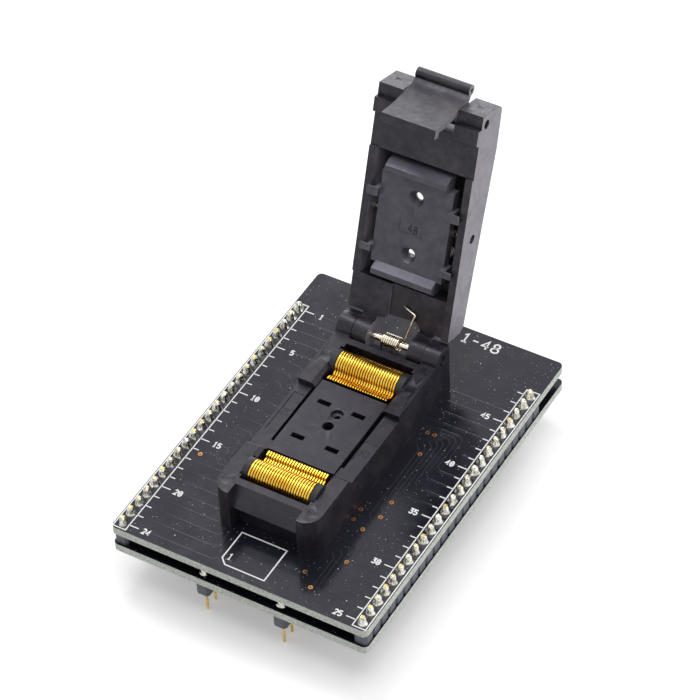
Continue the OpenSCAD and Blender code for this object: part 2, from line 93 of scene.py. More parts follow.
# %% places read from the solids
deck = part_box("top_board")[1][2] / MM
pin_low, pin_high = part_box("right_link_pins")
row_x = (pin_low[0] + pin_high[0]) / 2 / MM
pitch = 2.54
pins_in_row = 24
row_end = pitch * (pins_in_row - 1) / 2
joints = {j["name"]: j for j in frame["record"]["behaviour"]["joints"]}
hinge = Vector(joints["lid_hinge"]["pos_m"]) / MM
lid_open = math.radians(joints["lid_hinge"]["range_deg"][1])
floor_z = solid_box[0][2] / MM
print("deck", round(deck, 2), "row", round(row_x, 2), "floor", round(floor_z, 2))
print("hinge", [round(v, 2) for v in hinge])

# %% [markdown]
# ## The camera
#
# A long lens far away keeps the two rows of pins nearly parallel, as a product shot does. We build
# the camera's axes from its azimuth, its height above the horizon and a small roll, then step back
# from the point that it looks at. Writing the axes as a matrix avoids guessing at three tangled
# rotation angles.

# %% camera
AZIMUTH, ELEVATION, ROLL = math.radians(32.487), math.radians(45.160), math.radians(-3.279)
CAMERA_DISTANCE = 601.24
AIM_RIGHT, AIM_UP = 3.537, 18.728
LENS, SENSOR_WIDTH = 179.64, 36
looking = Vector((-math.sin(AZIMUTH) * math.cos(ELEVATION), math.cos(AZIMUTH) * math.cos(ELEVATION),
                  -math.sin(ELEVATION)))
level = Vector((math.cos(AZIMUTH), math.sin(AZIMUTH), 0))
upright = level.cross(looking)
right = math.cos(ROLL) * level + math.sin(ROLL) * upright
up = math.cos(ROLL) * upright - math.sin(ROLL) * level
aim = Vector((0, 0, deck)) + AIM_RIGHT * right + AIM_UP * up
eye = (aim - CAMERA_DISTANCE * looking) * MM

camera_data = bpy.data.cameras.new("camera")
camera_data.lens = LENS
camera_data.sensor_width = SENSOR_WIDTH
camera_data.clip_start, camera_data.clip_end = 0.01, 20
camera = bpy.data.objects.new("camera", camera_data)
bpy.context.scene.collection.objects.link(camera)
turn = Matrix((right, up, -looking)).transposed().to_4x4()
camera.matrix_world = Matrix.Translation(eye) @ turn
bpy.context.scene.camera = camera
print("camera at", [round(v, 4) for v in eye], "lens", camera_data.lens)

# %% [markdown]
# ## Small node helpers
#
# Every finish below is a little network of nodes. These helpers keep each one short: `node` adds a
# node and fills its sockets, `finish` starts a material with a Principled shader, and `calculate`
# adds one sum. All patterns are measured in object coordinates, which here are metres, so a grain
# of 0.2 mm stays 0.2 mm on every piece.

# %% node helpers
def node(tree, kind, inputs=None, **settings):
    made = tree.nodes.new(kind)
    for key, value in settings.items():
        setattr(made, key, value)
    for key, value in (inputs or {}).items():
        if isinstance(value, bpy.types.NodeSocket):
            tree.links.new(value, made.inputs[key])
        else:
            made.inputs[key].default_value = value
    return made


def finish(name, **sockets):
    material = bpy.data.materials.new(name)
    material.use_nodes = True
    tree = material.node_tree
    shader = tree.nodes["Principled BSDF"]
    for key, value in sockets.items():
        shader.inputs[key.replace("_", " ")].default_value = value
    return material, tree, shader


def place(tree):
    return node(tree, "ShaderNodeTexCoord").outputs["Object"]


def noise(tree, size_mm, detail=3.0, rough=0.55, where=None):
    return node(tree, "ShaderNodeTexNoise", {"Vector": where or place(tree), "Scale": 1 / (size_mm * MM),
                                             "Detail": detail, "Roughness": rough}).outputs["Fac"]


def ramp(tree, value, *stops):
    made = node(tree, "ShaderNodeValToRGB", {"Fac": value})
    band = made.color_ramp
    while len(band.elements) < len(stops):
        band.elements.new(0.5)
    for element, (at, colour) in zip(band.elements, stops):
        element.position = at
        element.color = (*colour, 1)
    return made.outputs["Color"]


def spread(tree, value, low, high, to_low, to_high):
    return node(tree, "ShaderNodeMapRange", {"Value": value, "From Min": low, "From Max": high,
                                             "To Min": to_low, "To Max": to_high}).outputs["Result"]


def blend_colour(tree, share, a, b):
    made = node(tree, "ShaderNodeMix", data_type="RGBA")
    for socket, value in ((made.inputs[0], share), (made.inputs[6], a), (made.inputs[7], b)):
        if isinstance(value, bpy.types.NodeSocket):
            tree.links.new(value, socket)
        elif isinstance(value, (int, float)):
            socket.default_value = value
        else:
            socket.default_value = (*value, 1)
    return made.outputs[2]


def bump(tree, shader, height, strength, depth_mm):
    made = node(tree, "ShaderNodeBump", {"Height": height, "Strength": strength,
                                         "Distance": depth_mm * MM})
    tree.links.new(made.outputs["Normal"], shader.inputs["Normal"])


def calculate(tree, operation, *values):
    return node(tree, "ShaderNodeMath", dict(enumerate(values)), operation=operation).outputs[0]


def rays_that_see(tree):
    """1 for a ray from the camera, off gloss or through glass, and 0 for the diffuse rays."""
    rays = node(tree, "ShaderNodeLightPath").outputs
    seen = calculate(tree, "MAXIMUM", rays["Is Camera Ray"], rays["Is Glossy Ray"])
    return calculate(tree, "MAXIMUM", seen, rays["Is Transmission Ray"])


print("node helpers ready")

# %% [markdown]
# ## Dust
#
# A dark object shows every speck of dust. Small cells of a Voronoi pattern give a scatter of
# points, and a random value per cell keeps only a few of them. The share that stays is one number,
# so the glossy board can carry more dust than the matt plastic.

# %% dust helper
def dust(tree, cell_mm, share, size):
    where = node(tree, "ShaderNodeMapping", {"Vector": place(tree),
                                             "Rotation": (0.3, 0.2, 0.5)}).outputs["Vector"]
    bend = node(tree, "ShaderNodeTexNoise", {"Vector": where, "Scale": 1 / (1.3 * cell_mm * MM)})
    reach = (0.5 * cell_mm * MM,) * 3
    shifted = node(tree, "ShaderNodeVectorMath", {0: bend.outputs["Color"], 1: reach},
                   operation="MULTIPLY").outputs[0]
    moved = node(tree, "ShaderNodeVectorMath", {0: where, 1: shifted}, operation="ADD").outputs[0]
    cells = node(tree, "ShaderNodeTexVoronoi", {"Vector": moved, "Scale": 1 / (cell_mm * MM)})
    near = spread(tree, cells.outputs["Distance"], size, size * 0.45, 0.0, 1.0)
    pick = node(tree, "ShaderNodeSeparateColor", {"Color": cells.outputs["Color"]})
    kept = calculate(tree, "LESS_THAN", pick.outputs["Red"], share)
    faint = calculate(tree, "MULTIPLY", near, pick.outputs["Green"])
    return calculate(tree, "MULTIPLY", faint, kept)


print("dust helper ready")

# %% [markdown]
# ## The circuit board
#
# A board is green-grey glass laminate with a coat of glossy black lacquer on its two faces. The
# sawn edges stay bare. One material does both: the direction of the face, from the Geometry node,
# tells lacquer from edge. The edge gets thin layers and a woven fleck, and the lacquer gets a faint
# waviness and dust.

# %% board lacquer and edge
def board_finish(name, lacquer):
    material, tree, shader = finish(name, Roughness=0.16, IOR=1.53)
    shader.inputs["Specular Tint"].default_value = (0.90, 0.89, 1.0, 1.0)
    normal = node(tree, "ShaderNodeNewGeometry").outputs["Normal"]
    lift = node(tree, "ShaderNodeSeparateXYZ", {"Vector": normal}).outputs["Z"]
    face = calculate(tree, "GREATER_THAN", calculate(tree, "ABSOLUTE", lift), 0.6)
    where = node(tree, "ShaderNodeMapping", {"Vector": place(tree),
                                             "Scale": (1, 1, 4)}).outputs["Vector"]
    weave = ramp(tree, noise(tree, 0.55, 4, 0.7, where), (0.30, (0.20, 0.22, 0.215)),
                 (0.50, (0.52, 0.56, 0.50)), (0.72, (0.88, 0.90, 0.80)))
    patches = ramp(tree, noise(tree, 9.0, 2), (0.35, tuple(0.75 * c for c in lacquer)), (0.7, lacquer))
    coarse, fine = dust(tree, 0.9, 0.10, 0.17), dust(tree, 0.42, 0.16, 0.22)
    dusty = blend_colour(tree, calculate(tree, "MAXIMUM", coarse, fine), patches, (0.75, 0.75, 0.76))
    tree.links.new(blend_colour(tree, face, weave, dusty), shader.inputs["Base Color"])
    gloss = spread(tree, noise(tree, 4.0, 3), 0.3, 0.7, 0.10, 0.20)
    dullness = node(tree, "ShaderNodeMix", {0: face, 2: 0.7, 3: gloss}).outputs[0]
    tree.links.new(dullness, shader.inputs["Roughness"])
    bump(tree, shader, noise(tree, 1.6, 3), 0.10, 0.03)
    return material


lacquered_board = board_finish("lacquered_board", (0.012, 0.012, 0.020))
print("board finish", lacquered_board.name)

# %% [markdown]
# ## Moulded plastics
#
# The socket is dark plastic: nearly black, slightly purple, with a dull and slightly mottled
# surface. Housing, lid, nest and combs are the same stuff in slightly different tones, so one
# function makes them all, and the strips of the pin rows too. Sharp edges get a painted highlight,
# a paler colour where the `Pointiness` output is high: it is high where a mesh turns sharply. The
# sides of the lid and the latch, and the ledges of the pressure plate, should catch more light than
# the lamps further down bring them. The rest of it is painted light in the colour: those faces get
# a paler grey, and the object's own `Normal` tells them from their neighbours in whatever position
# the lid stands.

# %% moulded plastic
def moulded(name, colour, dull=0.5, mottle=0.35, specks=0.03, painted_light=None):
    """Moulded black plastic. The last argument is painted light: a direction, a paler colour for the
    faces that look that way, and whether the faces that look the opposite way get it too."""
    material, tree, shader = finish(name, IOR=1.46)
    shader.inputs["Specular Tint"].default_value = (0.92, 0.89, 1.0, 1.0)
    paler = tuple(min(1, c * (1 + mottle)) for c in colour)
    darker = tuple(c * (1 - mottle) for c in colour)
    cloudy = ramp(tree, noise(tree, 1.9, 6, 0.68), (0.34, darker), (0.50, colour), (0.66, paler))
    haze = tuple(c + 0.10 * t for c, t in zip(colour, (1.0, 0.93, 1.08)))
    hazy = blend_colour(tree, spread(tree, noise(tree, 4.5, 7, 0.72), 0.44, 0.70, 0.0, mottle),
                        cloudy, haze)
    fine = blend_colour(tree, spread(tree, noise(tree, 0.16, 2), 0.35, 0.75, 0.0, 0.35), hazy, paler)
    # Painted highlight: sharp convex edges are blended towards a paler colour where Pointiness is high.
    sharp = node(tree, "ShaderNodeNewGeometry").outputs["Pointiness"]
    edge_highlight = spread(tree, sharp, 0.53, 0.60, 0.0, 0.35)
    edged = blend_colour(tree, edge_highlight, fine, tuple(min(1, c * 2.1) for c in colour))
    # Painted light: faces that look along the given direction get a paler colour for light the lamps
    # don't bring.
    if painted_light:
        direction, painted_light_colour, both_ways = painted_light
        normal = node(tree, "ShaderNodeTexCoord").outputs["Normal"]
        facing = node(tree, "ShaderNodeVectorMath", {0: normal, 1: direction},
                      operation="DOT_PRODUCT").outputs["Value"]
        if both_ways:
            facing = calculate(tree, "ABSOLUTE", facing)
        patches = spread(tree, noise(tree, 3.2, 6, 0.7), 0.30, 0.70, 0.55, 1.0)
        share = calculate(tree, "MULTIPLY", spread(tree, facing, 0.70, 0.84, 0.0, 1.0), patches)
        edged = blend_colour(tree, share, edged, painted_light_colour)
    tree.links.new(blend_colour(tree, dust(tree, 0.9, specks, 0.11), edged, (0.5, 0.5, 0.5)),
                   shader.inputs["Base Color"])
    tree.links.new(spread(tree, noise(tree, 1.1, 4), 0.3, 0.7, dull - 0.07, dull + 0.1),
                   shader.inputs["Roughness"])
    bump(tree, shader, noise(tree, 0.22, 4, 0.7), 0.22, 0.02)
    return material


housing_black = moulded("housing_black", (0.007, 0.006, 0.010), 0.33, 0.28, 0.07)
nest_black = moulded("nest_black", (0.009, 0.008, 0.013), 0.36, 0.26, 0.07)
lid_black = moulded("lid_black", (0.008, 0.007, 0.011), 0.38, 0.55, 0.06,
                    ((1, 0, 0), (0.26, 0.243, 0.285), True))
UP_THE_LID = (0, -math.cos(lid_open), math.sin(lid_open))
plate_black = moulded("plate_black", (0.066, 0.063, 0.080), 0.36, 0.35, 0.05,
                      (UP_THE_LID, (0.17, 0.163, 0.205), False))
comb_grey = moulded("comb_grey", (0.010, 0.010, 0.011), 0.52, 0.2, 0.01)
strip_black = moulded("strip_black", (0.060, 0.061, 0.078), 0.42, 0.25, 0.01)
print("plastics", housing_black.name, lid_black.name, comb_grey.name)

# %% [markdown]
# ## Metals
#
# The contacts are gold over spring bronze, the header pins are paler gold, the shafts and springs
# are bright steel, and the joints are solder. A metal's look is its reflection, so each gets full
# metallic, its own tint, and a roughness that wanders a little, as rolled and dipped metal does.

# %% metals
def metal(name, colour, shade, rough, grain_mm=0.4, dents=0.15, depth=0.02):
    material, tree, shader = finish(name, Metallic=1.0)
    tree.links.new(ramp(tree, noise(tree, grain_mm * 2.5, 3), (0.3, shade), (0.62, colour)),
                   shader.inputs["Base Color"])
    tree.links.new(spread(tree, noise(tree, grain_mm, 4), 0.3, 0.7, rough * 0.7, rough * 1.3),
                   shader.inputs["Roughness"])
    bump(tree, shader, noise(tree, grain_mm, 3), dents, depth)
    return material


contact_gold = metal("contact_gold", (0.90, 0.55, 0.07), (0.78, 0.39, 0.03), 0.27, 1.6, 0.02, 0.01)
pin_gold = metal("pin_gold", (0.86, 0.66, 0.28), (0.62, 0.42, 0.13), 0.26, 0.5)
bright_steel = metal("bright_steel", (0.84, 0.78, 0.66), (0.60, 0.54, 0.43), 0.20, 0.8, 0.05)
ring_copper = metal("ring_copper", (0.50, 0.24, 0.09), (0.26, 0.11, 0.04), 0.36, 0.3)
solder_tin = metal("solder_tin", (0.80, 0.79, 0.74), (0.30, 0.28, 0.20), 0.13, 0.35, 0.6, 0.08)
print("metals", contact_gold.name, pin_gold.name, solder_tin.name)

# %% [markdown]
# ## Dress the solids
#
# Each solid takes its material by name. The table below is the whole wardrobe.

# %% give each solid its finish
WARDROBE = {
    lacquered_board: ["lower_board", "top_board"],
    ring_copper: ["via_rings"],
    strip_black: ["left_plug_strip", "right_plug_strip", "left_link_strip", "right_link_strip"],
    pin_gold: ["left_plug_pins", "right_plug_pins", "left_link_pins", "right_link_pins"],
    solder_tin: ["top_solder", "lower_solder", "plug_solder"],
    housing_black: ["base_housing"],
    nest_black: ["nest_plate"],
    comb_grey: ["front_comb", "rear_comb"],
    contact_gold: ["front_contacts", "rear_contacts"],
    bright_steel: ["hinge_pin", "hinge_spring", "pressure_pin", "pressure_springs", "latch_pin",
                   "latch_spring"],
    lid_black: ["lid_frame", "latch_lever"],
    plate_black: ["pressure_plate"],
}
for material, names in WARDROBE.items():
    for name in names:
        solid = frame["nodes"][name]
        solid.data.materials.clear()
        solid.data.materials.append(material)
print("dressed", sum(len(n) for n in WARDROBE.values()), "solids")

# %% [markdown]
# ## Soft edges
#
# Nothing moulded has knife edges: a real edge is rounded by a tenth of a millimetre and catches a
# thin line of light, and the contacts' edges are soft too. A Weld modifier joins the loose points
# that the imported solid has along its creases, a Bevel modifier rounds only the sharp ones, and
# Weighted Normal keeps the large faces flat beside the new rounds. All three are modifiers, so the
# solid's own mesh stays as it was.

# %% round the edges
EDGE_ROUNDING = {"base_housing": 0.10, "lid_frame": 0.10, "latch_lever": 0.10, "pressure_plate": 0.08,
                 "nest_plate": 0.07, "front_contacts": 0.11, "rear_contacts": 0.11}
SHARP_ANGLE, JOIN_WITHIN = 38, 0.002
for name, width in EDGE_ROUNDING.items():
    solid = frame["nodes"][name]
    weld = solid.modifiers.new("join_points", "WELD")
    weld.merge_threshold = JOIN_WITHIN * MM
    rounding = solid.modifiers.new("round_edges", "BEVEL")
    rounding.width = width * MM
    rounding.segments = 2
    rounding.limit_method = "ANGLE"
    rounding.angle_limit = math.radians(SHARP_ANGLE)
    flatten = solid.modifiers.new("keep_flats_flat", "WEIGHTED_NORMAL")
    flatten.weight = 100
    flatten.thresh = 0.02
print("rounded", list(EDGE_ROUNDING))

# %% [markdown]
# ## A helper for new pieces
#
# New pieces are built as lists of points and faces. `piece` turns them into an object, gives it its
# finish and hangs it on the body that carries it, so that it moves with that body when the lid
# turns.

# %% piece helper
def piece(name, points, faces, material, body, smooth=False):
    mesh = bpy.data.meshes.new(name)
    mesh.from_pydata([Vector(p) * MM for p in points], [], faces)
    mesh.validate()
    mesh.materials.append(material)
    made = bpy.data.objects.new(name, mesh)
    bpy.context.scene.collection.objects.link(made)
    if smooth:
        mesh.polygons.foreach_set("use_smooth", [True] * len(mesh.polygons))
    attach(made, body)
    return made


def turned(profile, x, y, z, sides, wobble, points, faces, flip=1):
    """Adds a round shape from (radius, height) steps. wobble makes its outline slightly uneven,
    and flip -1 turns it over."""
    start = len(points)
    for radius, height in profile:
        for k in range(sides):
            angle = 2 * math.pi * k / sides
            r = radius * (1 + wobble(angle, height))
            points.append((x + r * math.cos(angle), y + r * math.sin(angle), z + flip * height))
    for ring in range(len(profile) - 1):
        for k in range(sides):
            a = start + ring * sides + k
            b = start + ring * sides + (k + 1) % sides
            quad = (a, b, b + sides, a + sides)
            faces.append(quad if flip > 0 else quad[::-1])


print("piece helper ready")

# %% [markdown]
# ## Soldered joints
#
# On each header pin sits a little volcano of solder: wide at the copper ring, hollow-sided, and
# pulled up to a rounded tip. No two are alike. We turn a hollow-sided profile round each pin and
# let seeded random numbers change its height, its width and its outline, so the same forty-eight
# joints come out every time.

# %% soldered joints on the top board
CONE = [(0.98, 0.0), (0.97, 0.05), (0.88, 0.18), (0.78, 0.40), (0.71, 0.68), (0.66, 0.94), (0.62, 1.16),
        (0.55, 1.34), (0.42, 1.48), (0.22, 1.57), (0.01, 1.60)]
JOINT_SIDES = 20


def joint_rows(name, z, scale_h, scale_r, flip, xs, seed, stands_for):
    dice = random.Random(seed)
    points, faces = [], []
    for x in xs:
        for k in range(pins_in_row):
            y = k * pitch - row_end
            tall = dice.uniform(0.93, 1.04) * scale_h
            fat = dice.uniform(0.92, 1.04) * scale_r
            phase, lobes = dice.uniform(0, 6.28), dice.choice((2, 3))
            profile = [(r * fat, h * tall) for r, h in CONE]
            lean = dice.uniform(0.05, 0.13)
            turned(profile, x, y, z, JOINT_SIDES, lambda a, h: lean * math.sin(lobes * a + phase),
                   points, faces, flip)
    made = piece(name, points, faces, solder_tin, "socket", smooth=True)
    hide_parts(stands_for)
    return made


top_joints = joint_rows("top_solder_joints", deck, 0.98, 1.0, 1, (-row_x, row_x), 7, "top_solder")

# %% [markdown]
# ## Joints that face down, and those between the boards
#
# The lower board has the same joints underneath, turned over, and the plug-in pins are soldered on
# its upper face, where a few of them show in the gap at the front.

# %% the other soldered joints
lower_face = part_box("lower_board")[0][2] / MM
lower_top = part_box("lower_board")[1][2] / MM
plug_x = 7.62
joint_rows("lower_solder_joints", lower_face, 0.98, 1.0, -1, (-row_x, row_x), 11, "lower_solder")
joint_rows("plug_solder_joints", lower_top, 0.5, 0.9, 1, (-plug_x, plug_x), 19, "plug_solder")
print("lower joints below", round(lower_face, 2), "plug joints above", round(lower_top, 2))

# %% [markdown]
# ## The hinge spring
#
# A torsion spring is one length of wire: a leg into the housing, eight close turns round the shaft,
# and a long leg that pushes on the lid and is bent over at its end. The coil stays with the socket
# and the long leg goes with the lid, so they are two pieces. Each is a tube swept along points,
# which keeps the wire round at the bends.

# %% wire sweeper
def wire(name, path, radius, sides, body):
    """Sweeps a round wire along a path, closes both ends and hangs it on a body."""
    path = [Vector(p) for p in path]
    points, faces = [], []
    side = (path[1] - path[0]).normalized().orthogonal().normalized()
    for i, here in enumerate(path):
        before = path[max(i - 1, 0)]
        after = path[min(i + 1, len(path) - 1)]
        along = (after - before).normalized()
        side = (side - along * side.dot(along)).normalized()
        other = along.cross(side)
        for k in range(sides):
            a = 2 * math.pi * k / sides
            points.append(tuple(here + radius * (math.cos(a) * side + math.sin(a) * other)))
    for i in range(len(path) - 1):
        for k in range(sides):
            a, b = i * sides + k, i * sides + (k + 1) % sides
            faces.append((a, b, b + sides, a + sides))
    last = (len(path) - 1) * sides
    faces.append(tuple(range(sides))[::-1])
    faces.append(tuple(range(last, last + sides)))
    return piece(name, points, faces, bright_steel, body, smooth=True)


print("wire sweeper ready")

# %% coil of the hinge spring
COIL_R, WIRE_R, COIL_X, TURNS, TURN_STEP = 1.15, 0.18, -1.55, 8, 0.40
TURN_POINTS, WIRE_SIDES = 24, 10
SHORT_LEG, LEG_STEP, LEG_POINTS = 3.4, 0.4, 9
coil_path = [(COIL_X, hinge.y - COIL_R, hinge.z - SHORT_LEG + LEG_STEP * k) for k in range(LEG_POINTS)]
for k in range(TURNS * TURN_POINTS + 1):
    angle = math.pi - 2 * math.pi * k / TURN_POINTS
    coil_path.append((COIL_X + TURN_STEP * k / TURN_POINTS, hinge.y + COIL_R * math.cos(angle),
                      hinge.z + COIL_R * math.sin(angle)))
spring_coil = wire("hinge_spring_coil", coil_path, WIRE_R, WIRE_SIDES, "socket")
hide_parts("hinge_spring")
print("coil turns", TURNS, "wire", 2 * WIRE_R)

# %% [markdown]
# The long leg is easiest to draw on the closed lid, where the distance from the hinge and the
# height over it are plain numbers. A small function turns such a point with the lid to where it
# stands open.

# %% long leg of the spring
def on_lid(x, out, height):
    """A point of the closed lid (out from the hinge, height over it) moved to the open lid."""
    turned_point = Matrix.Rotation(-lid_open, 3, "X") @ Vector((x, -out, height))
    return Vector((turned_point.x, turned_point.y + hinge.y, turned_point.z + hinge.z))


leg_corners = [on_lid(1.65, -0.2, COIL_R), on_lid(1.7, 0.3, COIL_R), on_lid(3.02, 5.6, COIL_R),
               on_lid(3.1, 5.88, COIL_R), on_lid(2.9, 6.02, COIL_R + 0.03),
               on_lid(0.72, 6.75, COIL_R + 0.28)]
spring_leg = wire("hinge_spring_leg", leg_corners, WIRE_R, WIRE_SIDES, "lid")
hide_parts("hinge_spring")
print("leg ends at", [round(v, 1) for v in leg_corners[-1]])

# %% [markdown]
# ## The springs behind the pressure plate
#
# Two small compression springs push the plate out of the lid. Each is a rigid piece that rides on
# the lid, coiled between its foot and its seat in the lid's roof, so it doesn't shorten when the
# plate floats back. The first and last turns lie flat, as ground ends do.

# %% plate springs
PLATE_OUT, SPRING_SIDE, SPRING_SEAT, SPRING_FOOT = 18.0, 5.75, 5.64, 3.24
SPRING_R, SPRING_WIRE, THIN_SIDES = 0.90, 0.16, 8
SPRING_TURNS, SPRING_POINTS, FLAT_POINTS = 5, 20, 18
steps = SPRING_TURNS * SPRING_POINTS
for label, side in (("plate_spring_left", -1), ("plate_spring_right", 1)):
    path = []
    for k in range(steps + 1):
        share = min(1, max(0, (k - FLAT_POINTS) / (steps - 2 * FLAT_POINTS)))
        angle = 2 * math.pi * k / SPRING_POINTS
        height = SPRING_FOOT + SPRING_WIRE + share * (SPRING_SEAT - SPRING_FOOT - 2 * SPRING_WIRE)
        path.append(on_lid(side * SPRING_SIDE + SPRING_R * math.cos(angle),
                           PLATE_OUT + SPRING_R * math.sin(angle), height))
    spring = wire(label, path, SPRING_WIRE, THIN_SIDES, "lid")
    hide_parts("pressure_springs")
    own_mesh(spring)
print("plate springs between", SPRING_FOOT, "and", SPRING_SEAT, "mm over the hinge line")

# %% [markdown]
# ## The latch's spring
#
# A smaller torsion spring sits on the latch's pin. Its turns and one leg follow the latch, and the
# other leg stays against the lid, so it is split where the turns begin, as the hinge spring is.

# %% latch spring
LATCH_OUT, LATCH_UP, LATCH_COIL_R, LATCH_WIRE = 44.55, 3.1, 0.95, 0.18
FIRST_X, LAST_X, QUARTER_TURNS, QUARTER_POINTS, LATCH_LEG = -1.2, 1.08, 25, 6, 1.9
steps = QUARTER_TURNS * QUARTER_POINTS
path = []
for k in range(steps + 1):
    angle = math.pi / 2 * k / QUARTER_POINTS
    x = FIRST_X + (LAST_X - FIRST_X) * k / steps
    path.append(on_lid(x, LATCH_OUT + LATCH_COIL_R * math.sin(angle),
                       LATCH_UP + LATCH_COIL_R * math.cos(angle)))
path.append(on_lid(LAST_X, LATCH_OUT + LATCH_COIL_R, LATCH_UP - LATCH_LEG))
turns = wire("latch_spring_turns", path, LATCH_WIRE, THIN_SIDES, "latch")
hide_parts("latch_spring")
leg_path = [on_lid(FIRST_X, out, LATCH_UP + LATCH_COIL_R) for out in (42.15, 43.3, LATCH_OUT)]
leg = wire("latch_spring_leg", leg_path, LATCH_WIRE, THIN_SIDES, "lid")
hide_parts("latch_spring")
print("latch spring turns", QUARTER_TURNS / 4)

# %% [markdown]
# ## Printed lines
#
# White ink is printed on the board round each row, with a tick at every pin and a longer one at
# every fifth. The ink is a film a few hundredths of a millimetre thick, so each line is a thin flat
# bar. We draw in board coordinates and let one function turn a chain of points into a band with
# mitred corners.

# %% ink
white_ink, tree, shader = finish("white_ink", Roughness=0.55)
thin_spots = spread(tree, noise(tree, 0.25, 4), 0.30, 0.45, 0.0, 1.0)
tree.links.new(blend_colour(tree, thin_spots, (0.62, 0.62, 0.65), (0.92, 0.92, 0.93)),
               shader.inputs["Base Color"])
bump(tree, shader, noise(tree, 0.2, 2), 0.2, 0.01)


def band(chain, width, z, thick, points, faces, closed=False):
    """Adds a flat bar along a chain of (x, y) points."""
    chain = [Vector(p) for p in chain]
    count, start = len(chain), len(points)
    for i, here in enumerate(chain):
        before = chain[i - 1] if closed or i else here - (chain[1] - here)
        after = chain[(i + 1) % count] if closed or i < count - 1 else here + (here - chain[i - 1])
        a, b = (here - before).normalized(), (after - here).normalized()
        middle = (a + b).normalized() if (a + b).length > 1e-6 else a
        side = Vector((-middle.y, middle.x)) * (width / 2) / max(0.5, middle.dot(a))
        for corner in (here + side, here - side):
            points.append((corner.x, corner.y, z))
            points.append((corner.x, corner.y, z + thick))
    for i in range(count if closed else count - 1):
        a, b = start + 4 * i, start + 4 * ((i + 1) % count)
        faces.extend([(a + 1, a + 3, b + 3, b + 1), (a, b, b + 2, a + 2), (a, a + 1, b + 1, b),
                      (a + 2, b + 2, b + 3, a + 3)])
    if not closed:
        e = start + 4 * (count - 1)
        faces.extend([(start, start + 2, start + 3, start + 1), (e, e + 1, e + 3, e + 2)])


INK_Z, INK_T, LINE_W = deck - 0.01, 0.05, 0.21
print("ink film", INK_T, "mm on", round(deck, 2))

# %% row outlines and ticks
LONG_TICKS = {1, 5, 10, 15, 20, 24, 25, 30, 35, 40, 45}
INNER_X, OUTER_X, ROW_END_Y = row_x - 1.27, row_x + 1.24, 30.48
LONG_TICK, SHORT_TICK = 1.88, 1.22
points, faces = [], []
for side in (-1, 1):
    box = [(side * INNER_X, -ROW_END_Y), (side * OUTER_X, -ROW_END_Y), (side * OUTER_X, ROW_END_Y),
           (side * INNER_X, ROW_END_Y)]
    band(box, LINE_W, INK_Z, INK_T, points, faces, closed=True)
    for k in range(pins_in_row):
        number = pins_in_row - k if side < 0 else pins_in_row + 1 + k
        y = k * pitch - row_end
        reach = LONG_TICK if number in LONG_TICKS else SHORT_TICK
        band([(side * INNER_X, y), (side * (INNER_X - reach), y)], LINE_W, INK_Z, INK_T, points, faces)
print("row lines", len(faces), "faces")

# %% [markdown]
# ## Plain numbers
#
# The pin numbers are drawn the way a board plotter draws them, as single pen strokes. Each digit is
# a few chains of points in a box one unit wide and two high, and the nought carries a slash so that
# it can't be read as a letter. The rear label is only the range of the pins, from 1 to 48.

# %% pen strokes for digits
STROKES = {
    "0": [[(0, .4), (0, 1.6), (.35, 2), (.65, 2), (1, 1.6), (1, .4), (.65, 0), (.35, 0), (0, .4)],
          [(.2, .6), (.8, 1.4)]],
    "1": [[(.15, 1.6), (.55, 2), (.55, 0)], [(.15, 0), (.95, 0)]],
    "2": [[(0, 1.6), (.3, 2), (.7, 2), (1, 1.65), (1, 1.25), (0, 0), (1, 0)]],
    "3": [[(0, 2), (1, 2), (.45, 1.2), (.75, 1.15), (1, .8), (1, .35), (.7, 0), (.3, 0), (0, .35)]],
    "4": [[(.75, 0), (.75, 2), (0, .65), (1, .65)]],
    "5": [[(1, 2), (.05, 2), (0, 1.15), (.6, 1.2), (1, .9), (1, .35), (.65, 0), (.25, 0), (0, .3)]],
    "8": [[(.5, 1.1), (.1, 1.35), (.1, 1.75), (.35, 2), (.65, 2), (.9, 1.75), (.9, 1.35), (.5, 1.1),
           (0, .75), (0, .3), (.3, 0), (.7, 0), (1, .3), (1, .75), (.5, 1.1)]],
    "-": [[(.1, 1), (.9, 1)]],
}


def write(text, x, y, high, z, thick, width, points, faces, broad=0.5, gap=0.27):
    """Writes digits along +X, with (x, y) at the middle of the text."""
    wide, step = high * broad, high * (broad + gap)
    total = step * (len(text) - 1) + wide
    left = x - total / 2
    for i, sign in enumerate(text):
        for chain in STROKES[sign]:
            spots = [(left + i * step + wide * u, y - high / 2 + high / 2 * v) for u, v in chain]
            band(spots, width, z, thick, points, faces)


NUMBER_X, NUMBER_HIGH, NUMBER_PEN = 18.8, 1.08, 0.25
for number in sorted(LONG_TICKS):
    left_row = number <= pins_in_row
    y = row_end - (number - 1) * pitch if left_row else (number - pins_in_row - 1) * pitch - row_end
    side = -1 if left_row else 1
    write(str(number), side * NUMBER_X, y - 0.05, NUMBER_HIGH, INK_Z, INK_T, NUMBER_PEN, points, faces)
print("numbers drawn", len(LONG_TICKS))

# %% pin-one mark and the rear label
CORNER_MARK = [(-4.43, -21.61), (4.43, -21.61), (4.43, -29.13), (-3.27, -29.13), (-4.46, -27.99)]
band(CORNER_MARK, LINE_W + 0.03, INK_Z, INK_T, points, faces, closed=True)
write("1", -3.35, -27.25, 1.25, INK_Z, INK_T, 0.22, points, faces)
write("1-48", 9.6, 36.75, 2.1, INK_Z, INK_T, 0.33, points, faces, 0.62, 0.34)
piece("printed_lines", points, faces, white_ink, "socket")
print("printing", len(faces), "faces")

# %% [markdown]
# ## Copper tracks
#
# Under the lacquer run copper tracks, and the lacquer follows them as low ridges. Each is a strip
# with sloping sides, in a lacquer a shade paler than the board's, so that it shows by the way it
# catches light. A track leaves its pin square to the row, turns at 45 degrees and goes under the
# socket, and tracks that turn together stay nested.

# %% lacquer over copper
covered_copper = board_finish("covered_copper", (0.014, 0.014, 0.024))
TRACK_Z, TRACK_T, TRACK_W, SLOPE = deck - 0.02, 0.045, 0.34, 0.10


